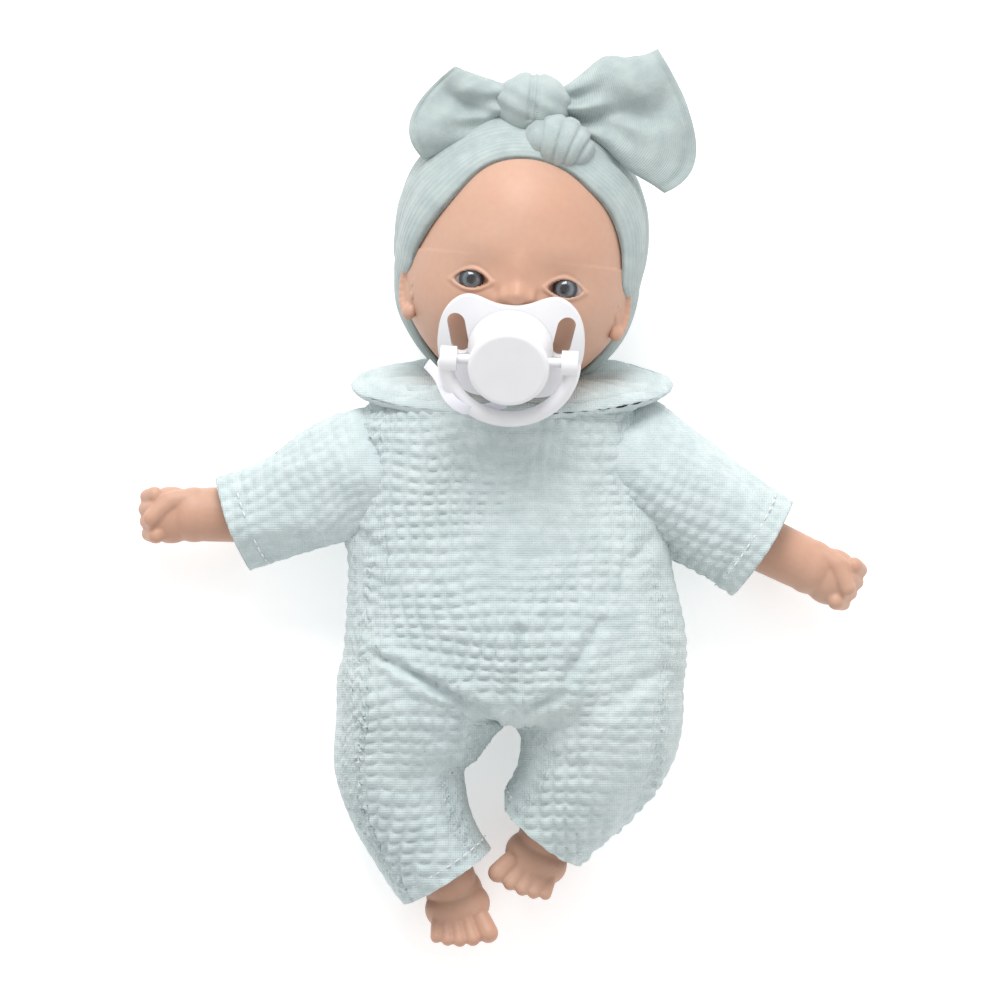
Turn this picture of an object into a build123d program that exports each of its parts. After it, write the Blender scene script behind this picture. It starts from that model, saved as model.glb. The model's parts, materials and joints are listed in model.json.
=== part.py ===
from build123d import *
import math
import os

# Soft-bodied baby doll lying on its back.  Millimetres.
# +X is the viewer's right, +Y points to the head, +Z points out of the chest.
# Z = 0 is the surface that the back of the doll rests on.

# ---- driving dimensions -------------------------------------------------------
CLOTH = 1.6                  # romper cloth, two gauze layers with their loft
GAP = 0.4                    # room between bodies that move
VINYL = 2.6                  # wall of the moulded vinyl

# torso: y, half width, half thickness, middle x, middle z of each section
TORSO_SECTIONS = [
    (34.0, 22.0, 15.0, 2.0, 32.0),
    (26.0, 44.0, 24.0, 0.0, 31.0),
    (6.0, 49.0, 29.5, 1.0, 29.0),
    (-24.0, 52.0, 31.0, 3.5, 29.0),
    (-48.0, 53.5, 31.0, 4.5, 29.0),
    (-70.0, 50.0, 27.0, 3.0, 27.5),
]

# head
HEAD_TILT = -6.0             # lean of the head towards +X, degrees about Z
HEAD_CENTRE = Vector(5.9, 77.0, 41.0)
HEAD_PROFILE = [(0.0, 45.0), (19.0, 40.5), (32.5, 24.0), (36.3, 3.0),
                (34.5, -14.0), (28.0, -29.0), (17.5, -38.5)]
NECK_RADIUS = 13.0
NECK_END = -57.0             # bottom of the neck, measured from the head's centre
HEAD_TURN = 20.0
EYE_RADIUS = 7.0
EYE_SPACING = 29.8
EYE_HEIGHT = -8.4
EYE_DEPTH = 26.2
BAND_THICKNESS = 3.4
BAND_FRONT = -1.0            # front edge plane of the headband from the head's middle
BAND_WIDTH = 36.0

# pacifier, measured along its own axis outwards from the lips
PACIFIER_PITCH = 25.0
PACIFIER_ROLL = 4.0
MOUTH = Vector(0.3, -28.2, 33.0)
MOUTH_RADIUS = 7.3
SHIELD_BACK = 1.8
SHIELD_THICKNESS = 2.4
SHIELD_CURVE = 58.0
SHIELD_HALF_WIDTH = 23.4
DOME_TOP = 14.4
DISC_RADIUS = 13.0
DISC_THICKNESS = 4.4
RING_PIVOT = 11.6
RING_RADIUS = 20.4
RING_BAR = 2.5
PIN_RADIUS = 1.5
PIN_CLEARANCE = 0.08
RING_SWING = 110.0
PACIFIER_TRAVEL = 30.0

# arms: shoulder, middle of the cuff, elbow and end of the fist
SHOULDER_RADIUS = 16.6
ARMS = {
    "left": {"shoulder": Vector(-50.0, 3.6, 27.0), "cuff": Vector(-84.2, -7.6, 21.0),
             "cuff_radius": 15.6, "elbow": Vector(-70.0, -4.0, 21.0),
             "fist": Vector(-106.6, -5.6, 16.0), "thumb_side": 1.0},
    "right": {"shoulder": Vector(51.5, 6.4, 27.0), "cuff": Vector(83.0, -15.4, 21.5),
              "cuff_radius": 18.0, "elbow": Vector(70.0, -7.5, 22.0),
              "fist": Vector(106.72, -25.2, 16.5), "thumb_side": -1.0},
}
ARM_UP = 35.0
ARM_DOWN = 15.0
FOREARM_RADIUS = 9.2
FIST_RADIUS = 10.3
FOREARM_TWIST = 60.0

# legs: hip, stations of the trouser leg (point, radius), and the foot
HIP_RADIUS = 25.5
HIP_FLEX = 68.0
LEGS = {
    "left": {"hip": Vector(-27.6, -64.2, 26.5), "thigh_shift": -3.0,
             "stations": [(Vector(-32.0, -83.0, 24.5), 20.6), (Vector(-28.6, -99.0, 22.0), 18.8),
                          (Vector(-17.6, -119.6, 18.4), 16.2)],
             "knee": Vector(-26.5, -98.0, 21.0), "ankle": Vector(-16.6, -122.0, 17.0),
             "foot": Vector(-13.8, -132.12, 17.5), "toe_turn": 12.0},
    "right": {"hip": Vector(31.4, -64.2, 26.5), "thigh_shift": 0.0,
              "stations": [(Vector(30.4, -79.0, 25.0), 24.2), (Vector(24.6, -91.0, 22.5), 20.8),
                           (Vector(13.6, -105.4, 18.6), 16.6)],
              "knee": Vector(26.0, -88.0, 21.5), "ankle": Vector(14.6, -107.0, 17.2),
              "foot": Vector(11.6, -116.4, 17.5), "toe_turn": -30.0},
}
SHIN_RADIUS = 9.4
FOOT_TWIST = 25.0

# sound module in the tummy
MODULE = Vector(4.0, -12.5, 30.0)    # middle of the split between the case halves
CASE_LENGTH = 60.0
CASE_WIDTH = 43.0
CASE_HALF = 14.0
CASE_WALL = 2.0
CASE_CORNER = 6.0
BUTTON_RADIUS = 9.0
BUTTON_TRAVEL = 2.0
BUTTON_X = -15.0
SPEAKER_RADIUS = 13.5
SPEAKER_X = 13.0
BAY_LENGTH = 47.0
BAY_WIDTH = 23.0
BAY_DEPTH = 12.0
CELL_RADIUS = 5.2
CELL_LENGTH = 44.5
BAY_Y = -6.0
DOOR_THICKNESS = 2.0
DOOR_TRAVEL = 7.0
SWITCH_TRAVEL = 3.0

HEAD_PLACE = Location(HEAD_CENTRE, (0, 0, HEAD_TILT))
PACIFIER_PLACE = HEAD_PLACE * Location(MOUTH, (PACIFIER_PITCH, 0, PACIFIER_ROLL))


# ---- helpers --------------------------------------------------------------------
def ball(radius, centre):
    return Pos(*centre) * Sphere(radius)


def egg(half_x, half_y, half_z, place):
    """A stretched ball, its half sizes along the place's own axes."""
    return place * scale(Sphere(1.0), by=(half_x, half_y, half_z))


def rod(start, end, radius, end_radius=None):
    """A round bar, straight or tapered, between two points."""
    run = end - start
    place = Plane(origin=start, z_dir=run).location
    upright = (Align.CENTER, Align.CENTER, Align.MIN)
    if end_radius is None or abs(end_radius - radius) < 1e-6:
        return place * Cylinder(radius, run.length, align=upright)
    return place * Cone(radius, end_radius, run.length, align=upright)


def bolster(start, end, radius, end_radius, domed_end=True):
    """A tapered bar with a round start, and a round or flat end, turned in one piece."""
    run = end - start
    length = run.length
    outline = [RadiusArc((0, -radius), (radius, 0), -radius), Line((radius, 0), (end_radius, length))]
    tip = length
    if domed_end:
        tip = length + end_radius
        outline.append(RadiusArc((end_radius, length), (0, tip), -end_radius))
    else:
        outline.append(Line((end_radius, length), (0, length)))
    outline.append(Line((0, tip), (0, -radius)))
    solid = revolve(make_face(outline), Axis.Y)
    return Plane(origin=start, z_dir=run).location * Rot(90, 0, 0) * solid


def slab(low, high):
    """A box from its lowest to its highest corner."""
    size = [high[i] - low[i] for i in range(3)]
    middle = [(high[i] + low[i]) / 2 for i in range(3)]
    return Pos(*middle) * Box(*size)


def biggest(shape):
    """The largest solid of a cut, without crumbs."""
    return max(shape.solids(), key=lambda solid: solid.volume)


def write(shape, name):
    export_step(shape, f"parts/{name}.step")


# ---- torso ------------------------------------------------------------------------
def torso_loft(inset):
    """The stuffed body's outer form, shrunk all round by inset and flat on the back."""
    rings = []
    for index, (y, half_x, half_z, mid_x, mid_z) in enumerate(TORSO_SECTIONS):
        at = y - inset if index == 0 else y
        if index == len(TORSO_SECTIONS) - 1:
            at = y + inset
        plane = Plane(origin=(mid_x, at, mid_z), x_dir=(1, 0, 0), z_dir=(0, -1, 0))
        rings.append(plane * Ellipse(half_x - inset, half_z - inset))
    form = loft(rings)
    return form & slab((-90, -120, inset), (90, 60, 90))


def hip_room():
    """Upright wells in which the tops of the legs turn."""
    wells = None
    for leg in LEGS.values():
        hip = leg["hip"]
        well = rod(Vector(hip.X, hip.Y, -5), Vector(hip.X, hip.Y, 90), HIP_RADIUS + GAP)
        wells = well if wells is None else wells + well
    return wells


def arm_form(side, grow, extra=0.0):
    """A round-topped cone along the arm, grown all round and lengthened past the cuff."""
    arm = ARMS[side]
    end = arm["cuff"] + (arm["cuff"] - arm["shoulder"]).normalized() * extra
    return bolster(arm["shoulder"], end, SHOULDER_RADIUS + grow, arm["cuff_radius"] + grow, False)


def turned(shape, about, angle):
    """The shape turned about an upright line through a point."""
    return Pos(*about) * Rot(0, 0, angle) * Pos(*(-about)) * shape


def shoulder_rooms(side):
    """The socket of one arm, as its own form in several positions from lowest to highest."""
    shoulder = ARMS[side]["shoulder"]
    sign = 1 if side == "right" else -1
    angles = (0.0, -ARM_DOWN / 2, -ARM_DOWN, ARM_UP / 2, ARM_UP)
    return [turned(arm_form(side, GAP), shoulder, sign * angle) for angle in angles]


def neck_hole():
    bottom = HEAD_PLACE * Pos(0, NECK_END - GAP, 0)
    return bottom * Rot(-90, 0, 0) * Cylinder(
        NECK_RADIUS + GAP, 60, align=(Align.CENTER, Align.CENTER, Align.MIN))


def neck_tie():
    """The draw cord that closes the cloth round the neck."""
    return HEAD_PLACE * Pos(0, NECK_END + 5.5, 0) * Rot(90, 0, 0) * Torus(NECK_RADIUS + GAP + 1.4, 1.2)


def module_room():
    """The pocket in the stuffing, deep enough to lift the battery door off."""
    half_x = CASE_LENGTH / 2 + 1.0
    half_y = CASE_WIDTH / 2 + 1.0
    low = (MODULE.X - half_x, MODULE.Y - half_y, 5.0)
    high = (MODULE.X + half_x, MODULE.Y + half_y, MODULE.Z + CASE_HALF + 4.6)
    return slab(low, high)


def snap_discs(grow=0.0):
    """Press studs that close the romper down the back."""
    discs = None
    for y in (14.0, -8.0, -30.0):
        disc = Pos(3.0, y, 0.05 - grow) * Cylinder(
            4.0 + grow, 1.3 + grow, align=(Align.CENTER, Align.CENTER, Align.MIN))
        discs = disc if discs is None else discs + disc
    return discs


def cut_rooms(shape):
    """Takes out the room in which the legs, the neck, the head and the arms move."""
    shape = shape - hip_room() - neck_hole() - head_sweep(GAP)
    for side in ARMS:
        for room in shoulder_rooms(side):
            shape = shape - room
    return shape


def build_torso():
    body = torso_loft(CLOTH)
    skin = cut_rooms(torso_loft(0.0) - body) - snap_discs() - collar() - neck_tie()
    write(biggest(skin), "romper_torso")
    body = cut_rooms(body) - module_room() - neck_tie() - collar()
    write(biggest(body), "stuffed_body")
    write(snap_discs(), "back_press_studs")
    write(neck_tie(), "neck_tie")
    write(collar(), "romper_collar")


def head_sweep(grow):
    """The head's form grown all round, which clears it at every turn."""
    points = [(max(radius + grow, 0.0), y + (grow if radius == 0 else 0)) for radius, y in HEAD_PROFILE]
    points.append((NECK_RADIUS + grow, -44.5 - grow))
    return spin_profile(points, -60.0)


_COLLAR = []


def collar():
    """A flat padded collar, lower in front than behind."""
    if not _COLLAR:
        place = Location((3.6, 37.2, 32.0), (90 + 14, 0, 0))
        ring = extrude(Ellipse(50.5, 29.0) - Ellipse(20.0, 17.0), amount=3.0, both=True)
        edges = ring.edges().filter_by(GeomType.LINE, reverse=True)
        ring = fillet(edges, 2.6)
        ring = place * ring - head_sweep(GAP + 0.3)
        ring = ring & slab((-90, -10, 0.2), (90, 90, 90))
        _COLLAR.append(biggest(ring))
    return _COLLAR[0]


# ---- head ---------------------------------------------------------------------------
def spin_profile(points, bottom):
    """A solid turned about the head's upright axis from a profile and a straight neck."""
    curve = Spline(*[(radius, y) for radius, y in points])
    last = points[-1]
    outline = [curve, Line(last, (last[0], bottom)), Line((last[0], bottom), (0, bottom)),
               Line((0, bottom), points[0])]
    face = make_face(outline)
    return HEAD_PLACE * revolve(face, Axis.Y)


def head_outer():
    points = HEAD_PROFILE + [(NECK_RADIUS, -44.0)]
    return spin_profile(points, NECK_END)


def head_inner():
    points = [(max(radius - VINYL, 0.0), y - (VINYL if radius == 0 else 0)) for radius, y in HEAD_PROFILE]
    points.append((NECK_RADIUS - VINYL, -43.0))
    return spin_profile(points, NECK_END - 5)


def eye_place(sign):
    return HEAD_PLACE * Pos(sign * EYE_SPACING / 2 + 0.7, EYE_HEIGHT, EYE_DEPTH)


def ear(sign):
    place = HEAD_PLACE * Location((sign * 35.0, -13.0, 8.0), (0, sign * 25, sign * -8))
    return egg(2.8, 9.2, 5.2, place)


def muzzle():
    """The lips and chin, which stand in front of the round head."""
    return egg(13.0, 13.0, 13.0, HEAD_PLACE * Location((0.6, -22.5, 19.0)))


def nose():
    return egg(5.2, 4.4, 5.0, HEAD_PLACE * Location((0.6, -12.0, 32.8)))


def mouth_line(start, end, radius):
    """A bar along the pacifier's axis between two depths."""
    bar = Cylinder(radius, end - start, align=(Align.CENTER, Align.CENTER, Align.MIN))
    return PACIFIER_PLACE * Pos(0, 0, start) * bar


def build_head():
    lips = muzzle() - mouth_line(-26.0, 12.0, MOUTH_RADIUS + 1.6)
    shell = head_outer() - head_inner()
    shell = shell + (lips - head_inner()) + (nose() - head_inner()) + (ear(1) - head_inner())
    shell = shell + (ear(-1) - head_inner())
    shell = shell - mouth_line(-26.0, 12.0, MOUTH_RADIUS + 1.6)
    for sign in (-1, 1):
        shell = shell - eye_place(sign) * Sphere(EYE_RADIUS)
    write(biggest(shell), "head_shell")
    for name, sign in (("left_eye", -1), ("right_eye", 1)):
        write(eye_place(sign) * Sphere(EYE_RADIUS - 0.02), name)
    liner = mouth_line(-22.0, -1.5, MOUTH_RADIUS + 1.5) - mouth_line(-20.5, 0.0, MOUTH_RADIUS)
    write(liner, "mouth_socket")
    return head_solid_outline()


def head_solid_outline():
    return head_outer() + muzzle() + ear(1) + ear(-1)


# ---- headband -------------------------------------------------------------------------
def knot_place():
    return HEAD_PLACE * Location((-0.5, 49.4, 14.0))


def belt():
    """The slanting slice of the head that the band covers, from the forehead to the nape."""
    middle = BAND_FRONT - BAND_WIDTH / 2
    return HEAD_PLACE * Rot(45, 0, 0) * Pos(0, 0, middle) * Box(200, 200, BAND_WIDTH)


def build_headband(head):
    points = [(radius + BAND_THICKNESS if radius else 0.0, y + (BAND_THICKNESS if radius == 0 else 0))
              for radius, y in HEAD_PROFILE]
    points.append((NECK_RADIUS + BAND_THICKNESS, -44.0))
    grown = spin_profile(points, -45.0)
    band = grown & belt()
    band = band - head - (HEAD_PLACE * Pos(0, -60, 0) * Box(200, 66, 200))
    ball_knot = egg(12.0, 9.3, 11.0, knot_place())
    wrap = egg(11.5, 9.5, 8.0, HEAD_PLACE * Location((8.6, 37.6, 22.0), (0, 0, -14)))
    left = tail("left") - ball_knot
    right = tail("right") - ball_knot
    wrap = wrap - ball_knot - head
    band = band - ball_knot - wrap - left - right
    write(biggest(band), "headband_band")
    write(biggest(ball_knot - head), "headband_knot")
    write(biggest(wrap), "headband_wrap")
    write(biggest(left - head), "headband_left_tail")
    write(biggest(right - head), "headband_right_tail")


# outline of each bow end, from the knot outwards, in the head's own upright frame
TAIL_OUTLINES = {
    "left": [(-6.0, 41.0), (-6.0, 56.5), (-26.5, 58.0), (-37.0, 41.5), (-34.0, 28.5), (-24.0, 28.0)],
    "right": [(5.0, 42.0), (6.0, 55.0), (19.5, 66.5), (36.5, 70.5), (49.5, 40.0), (43.0, 26.5), (26.0, 32.5)],
}
TAIL_DEPTH = 11.0


def tail(side):
    """A puffed bow end, cut from its outline and rounded at the edge."""
    shape = Polygon(*TAIL_OUTLINES[side], align=None)
    solid = extrude(shape, amount=TAIL_DEPTH)
    solid = fillet(solid.edges(), 2.4)
    return HEAD_PLACE * Location((0, 0, 6.0)) * solid


# ---- pacifier ---------------------------------------------------------------------------
def shield_outline():
    """Half of the butterfly plate, mirrored about its middle."""
    half = [(0.0, 14.2), (6.0, 14.9), (14.0, 16.6), (20.8, 11.5), (SHIELD_HALF_WIDTH, 2.0),
            (21.0, -9.5), (15.0, -15.8), (0.0, -17.4)]
    right = Spline(*half, tangents=((1, 0), (-1, 0)))
    left = Spline(*[(-x, y) for x, y in half], tangents=((-1, 0), (1, 0)))
    return make_face([right, left])


def slot_face(sign):
    place = Location((sign * 16.8, 4.2), 0)
    return place * Rot(0, 0, sign * -12) * SlotOverall(13.4, 5.8, rotation=90)


def curved_plate(face, back, thickness):
    """A face cut out of a thin dish that bends towards the cheeks."""
    outer = Pos(0, 0, back + thickness - SHIELD_CURVE) * Sphere(SHIELD_CURVE)
    inner = Pos(0, 0, back - SHIELD_CURVE) * Sphere(SHIELD_CURVE)
    block = extrude(face, amount=20.0, both=True)
    return (outer - inner) & block


def pacifier_pins(radius, reach):
    bar = Rot(0, 90, 0) * Cylinder(radius, 2 * reach)
    return Pos(0, 0, RING_PIVOT) * bar


def build_pacifier():
    face = shield_outline() - slot_face(1) - slot_face(-1)
    plate = curved_plate(face, SHIELD_BACK, SHIELD_THICKNESS)
    upright = (Align.CENTER, Align.CENTER, Align.MIN)
    dome = Pos(0, 0, SHIELD_BACK + 1.0) * Cone(13.6, 11.8, DOME_TOP - SHIELD_BACK - 1.0, align=upright)
    pins = pacifier_pins(PIN_RADIUS, RING_RADIUS + 1.2)
    shield = plate + dome + pins
    shield = shield - Cylinder(5.0, 2 * (SHIELD_BACK + 3.0))
    write(PACIFIER_PLACE * shield, "pacifier_shield")

    disc = Pos(0, 0, DOME_TOP + 0.02) * Cylinder(DISC_RADIUS, DISC_THICKNESS, align=upright)
    disc = fillet(disc.edges(), 1.8)
    write(PACIFIER_PLACE * disc, "pacifier_button")

    stem = Pos(0, 0, -9.0) * Cylinder(4.6, SHIELD_BACK + 3.0 + 8.9, align=upright)
    bulb = Pos(0, 0, -12.5) * Sphere(6.6)
    write(PACIFIER_PLACE * (stem + bulb), "pacifier_teat")


def build_ring():
    """A half ring with a boss on each end, hanging on the pins of the shield."""
    arc = CenterArc((0, 0, 0), RING_RADIUS, 180, 180)
    section = Plane(origin=arc @ 0, z_dir=arc % 0) * Circle(RING_BAR)
    bow = sweep(section, path=arc)
    bow = Pos(0, 0, RING_PIVOT) * bow
    for sign in (-1, 1):
        boss = Pos(sign * (RING_RADIUS - 1.1), 0, RING_PIVOT) * Rot(0, 90, 0) * Cylinder(4.0, 5.2)
        bow = bow + boss
    bow = bow - pacifier_pins(PIN_RADIUS + PIN_CLEARANCE, 40)
    write(PACIFIER_PLACE * bow, "pacifier_ring")


def build_ribbon():
    """A narrow satin ribbon tied round the ring's lower left, with two loose ends."""
    low = RING_PIVOT
    turn = math.radians(222)
    tie = Vector(RING_RADIUS * math.cos(turn), RING_RADIUS * math.sin(turn), low)
    wrap_place = Plane(origin=tie, z_dir=(-math.sin(turn), math.cos(turn), 0)).location
    loop = Cylinder(RING_BAR + 0.8, 3.7) - Cylinder(RING_BAR + 0.3, 3.7)
    strip = PACIFIER_PLACE * wrap_place * loop
    write(strip, "pacifier_ribbon")


# ---- arms -----------------------------------------------------------------------------
def build_arm(side):
    arm = ARMS[side]
    shoulder, elbow = arm["shoulder"], arm["elbow"]
    write(arm_form(side, 0.0) - arm_form(side, -CLOTH, 1.0), f"{side}_sleeve")

    upper = bolster(shoulder, elbow, SHOULDER_RADIUS - CLOTH - 0.6, 10.4, False)
    cup = bolster(elbow, arm["fist"], FOREARM_RADIUS + GAP, FOREARM_RADIUS + GAP)
    tie_at = elbow + (shoulder - elbow).normalized() * 3.0
    upper = upper - cup
    tie = Plane(origin=tie_at, z_dir=elbow - shoulder).location * Torus(11.6, 0.8)
    write(biggest(upper - tie), f"{side}_upper_arm")
    write(biggest(tie), f"{side}_arm_tie")
    build_forearm(side)


def build_forearm(side):
    arm = ARMS[side]
    elbow, fist = arm["elbow"], arm["fist"]
    run = (fist - elbow).normalized()
    fore = bolster(elbow, fist, FOREARM_RADIUS, FOREARM_RADIUS - 0.6, False)
    hand = Plane(origin=fist, z_dir=run).location * scale(Sphere(1.0), by=(9.0, 9.8, FIST_RADIUS))
    thumb_side = Vector(-run.Y, run.X, 0) * arm["thumb_side"]
    tip = fist + run * 3.0 - thumb_side * 4.5 + Vector(0, 0, 7.0)
    thumb = rod(fist - run * 5.0 + Vector(0, 0, 4.0), tip, 3.0) + ball(3.0, tip)
    write(fore + hand + thumb, f"{side}_forearm")


# ---- legs -----------------------------------------------------------------------------
def leg_loft(side, inset):
    """The trouser leg's form from the hip to the hem, shrunk all round by inset."""
    leg = LEGS[side]
    points = [leg["hip"]] + [point for point, radius in leg["stations"]]
    radii = [HIP_RADIUS - 0.3] + [radius for point, radius in leg["stations"]]
    rings = []
    for index, point in enumerate(points):
        before = points[max(index - 1, 0)]
        after = points[min(index + 1, len(points) - 1)]
        direction = Vector(0, -1, 0) if index == 0 else after - before
        rings.append(Plane(origin=point, z_dir=direction) * Circle(radii[index] - inset))
    return loft(rings)


def build_leg(side):
    leg = LEGS[side]
    hip, knee, ankle = leg["hip"], leg["knee"], leg["ankle"]
    outer = leg_loft(side, 0.0) + ball(HIP_RADIUS, hip)
    inner = leg_loft(side, CLOTH) + ball(HIP_RADIUS - CLOTH, hip)
    write(outer - inner, f"{side}_trouser_leg")

    cup = bolster(knee, ankle, SHIN_RADIUS + GAP, SHIN_RADIUS + GAP)
    top = hip + Vector(leg["thigh_shift"], 0, 0)
    thigh = bolster(top, knee, HIP_RADIUS - CLOTH - 6.0, 11.2, False)
    tie_at = knee + (top - knee).normalized() * 3.0
    tie = Plane(origin=tie_at, z_dir=knee - top).location * Torus(12.9, 0.9)
    write(biggest(thigh - cup - tie), f"{side}_thigh")
    write(biggest(tie), f"{side}_leg_tie")
    build_foot(side)


def build_foot(side):
    leg = LEGS[side]
    knee, ankle, foot = leg["knee"], leg["ankle"], leg["foot"]
    shin = bolster(knee, ankle, SHIN_RADIUS, SHIN_RADIUS - 0.8)
    place = Location(foot, (0, 0, leg["toe_turn"])) * Rot(-38, 0, 0)
    sole = egg(10.6, 12.4, 8.0, place)
    toes = sole
    inner = 1 if side == "left" else -1
    for index, radius in enumerate((3.5, 2.8, 2.6, 2.4, 2.2)):
        across = inner * (8.2 - 4.05 * index - (0.6 if index else 0.0))
        along = -9.8 - 1.2 * math.cos(index * 0.6)
        toes = toes + place * Pos(across, along + 0.35 * index, 1.0) * Sphere(radius)
    write(shin + toes, f"{side}_foot")


# ---- sound module -----------------------------------------------------------------------
def case_half(low, high):
    """A rounded block of the case's outline between two heights from its split."""
    block = extrude(RectangleRounded(CASE_LENGTH, CASE_WIDTH, CASE_CORNER), amount=high - low)
    return Location(MODULE + Vector(0, 0, low)) * block


def case_core(low, high):
    inner = RectangleRounded(CASE_LENGTH - 2 * CASE_WALL, CASE_WIDTH - 2 * CASE_WALL, CASE_CORNER - CASE_WALL)
    return Location(MODULE + Vector(0, 0, low)) * extrude(inner, amount=high - low)


def module_at(x, y, z):
    return Location(MODULE + Vector(x, y, z))


def upright_disc(radius, height):
    return Cylinder(radius, height, align=(Align.CENTER, Align.CENTER, Align.MIN))


def build_case_front():
    front = case_half(0.0, CASE_HALF) - case_core(-1.0, CASE_HALF - CASE_WALL)
    front = front - module_at(BUTTON_X, 0, 5.0) * upright_disc(BUTTON_RADIUS + 0.3, 20)
    for ring, count in ((0.0, 1), (3.6, 6), (7.2, 12), (10.6, 18)):
        for index in range(count):
            angle = 2 * math.pi * index / count
            x = SPEAKER_X + ring * math.cos(angle)
            y = ring * math.sin(angle)
            front = front - module_at(x, y, 5.0) * upright_disc(0.9, 20)
    write(front, "sound_case_front")


def bay_block(grow, low, high):
    half_x = BAY_LENGTH / 2 + grow
    half_y = BAY_WIDTH / 2 + grow
    corner = MODULE + Vector(0, BAY_Y, 0)
    return slab((corner.X - half_x, corner.Y - half_y, MODULE.Z + low),
                (corner.X + half_x, corner.Y + half_y, MODULE.Z + high))


def switch_slot():
    return module_at(0, 13.2, -CASE_HALF - 1) * Box(
        6.0 + SWITCH_TRAVEL + 0.4, 4.4, 5.0, align=(Align.CENTER, Align.CENTER, Align.MIN))


def build_case_back():
    back = case_half(-CASE_HALF, 0.0) - case_core(-CASE_HALF + CASE_WALL, 1.0)
    back = back + bay_block(1.4, -CASE_HALF, -CASE_HALF + BAY_DEPTH + 1.4)
    back = back - bay_block(0.0, -CASE_HALF - 1, -CASE_HALF + BAY_DEPTH)
    back = back - switch_slot()
    for x, y in post_places():
        back = back + module_at(x, y, -CASE_HALF + 1) * upright_disc(2.6, CASE_HALF - 1.02)
        back = back - module_at(x, y, -CASE_HALF - 1) * upright_disc(1.25, CASE_HALF + 2)
        back = back - module_at(x, y, -CASE_HALF - 1) * upright_disc(2.3, 2.6)
    write(biggest(back), "sound_case_back")


def post_places():
    return [(sx * 26.0, sy * 17.5) for sx in (-1, 1) for sy in (-1, 1)]


def build_screws():
    screws = None
    for x, y in post_places():
        shank = module_at(x, y, -CASE_HALF + 1.6) * upright_disc(1.2, CASE_HALF - 2.0)
        head = module_at(x, y, -CASE_HALF + 0.2) * upright_disc(2.2, 1.4)
        cross = module_at(x, y, -CASE_HALF + 0.5) * Box(2.6, 0.6, 0.7) + module_at(
            x, y, -CASE_HALF + 0.5) * Box(0.6, 2.6, 0.7)
        screw = head + shank - cross
        screws = screw if screws is None else screws + screw
    write(screws, "case_screws")


def build_battery_parts():
    cells = None
    for sign in (-1, 1):
        middle = MODULE + Vector(0, BAY_Y + sign * 5.5, -CASE_HALF + 5.6)
        cell = Location(middle) * Rot(0, 90, 0) * Cylinder(CELL_RADIUS, CELL_LENGTH - 1.0)
        tip = Location(middle + Vector(sign * (CELL_LENGTH / 2 - 0.2), 0, 0)) * Rot(0, 90, 0) * Cylinder(1.8, 0.8)
        both = cell + tip
        cells = both if cells is None else cells + both
    write(cells, "battery_cells")
    plates = None
    for sign in (-1, 1):
        middle = module_at(sign * (BAY_LENGTH / 2 - 0.35), BAY_Y, -CASE_HALF + 5.8)
        plate = middle * Box(0.6, 19.0, 9.0)
        plates = plate if plates is None else plates + plate
    write(plates, "battery_contacts")


def door_outline(height, low):
    plate = extrude(RectangleRounded(BAY_LENGTH + 4, BAY_WIDTH + 3.6, 3.0), amount=height)
    return module_at(0, BAY_Y, low) * plate


def build_battery_door():
    door = door_outline(DOOR_THICKNESS, -CASE_HALF - DOOR_THICKNESS - 0.05)
    rim_outer = module_at(0, BAY_Y, -CASE_HALF - 0.1) * Box(
        BAY_LENGTH - 4, BAY_WIDTH - 0.6, 0.9, align=(Align.CENTER, Align.CENTER, Align.MIN))
    rim_inner = module_at(0, BAY_Y, -CASE_HALF - 0.05) * Box(
        BAY_LENGTH - 6.4, BAY_WIDTH - 3.0, 1.4, align=(Align.CENTER, Align.CENTER, Align.MIN))
    rim_outer = rim_outer - module_at(0, BAY_Y, -CASE_HALF + 5.6) * Box(BAY_LENGTH, BAY_WIDTH, 10.4)
    hole = module_at(0, BAY_Y, -CASE_HALF - 3) * upright_disc(1.4, 6)
    sink = module_at(0, BAY_Y, -CASE_HALF - 3) * upright_disc(2.6, 1.9)
    door = door + (rim_outer - rim_inner) - hole - sink
    write(door, "battery_door")
    shank = module_at(0, BAY_Y, -CASE_HALF - 1.1) * upright_disc(1.3, 1.4)
    head = module_at(0, BAY_Y, -CASE_HALF - 2.0) * upright_disc(2.4, 0.9)
    cross = module_at(0, BAY_Y, -CASE_HALF - 2.0) * Box(3.0, 0.6, 0.8)
    cross = cross + module_at(0, BAY_Y, -CASE_HALF - 2.0) * Box(0.6, 3.0, 0.8)
    write(head + shank - cross, "door_screw")


def build_electronics():
    board = module_at(-12.0, 0, 1.6) * Box(28.0, 34.0, 1.4)
    chip = module_at(-12.0, -11.0, 2.8) * Box(8.0, 6.0, 1.2)
    tact = module_at(BUTTON_X, 0, 3.4) * Box(5.0, 5.0, 2.4)
    write(board + chip + tact, "circuit_board")
    cone = module_at(SPEAKER_X, 0, 4.0) * upright_disc(SPEAKER_RADIUS, 3.4)
    dish = module_at(SPEAKER_X, 0, 5.6) * Cone(5.0, 11.6, 2.0, align=(Align.CENTER, Align.CENTER, Align.MIN))
    magnet = module_at(SPEAKER_X, 0, 0.6) * upright_disc(7.0, 3.6)
    write(cone + magnet - dish, "speaker")
    gasket = module_at(SPEAKER_X, 0, 7.45) * upright_disc(SPEAKER_RADIUS, CASE_HALF - CASE_WALL - 7.5)
    gasket = gasket - module_at(SPEAKER_X, 0, 7) * upright_disc(SPEAKER_RADIUS - 1.6, 9)
    write(gasket, "speaker_gasket")


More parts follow.
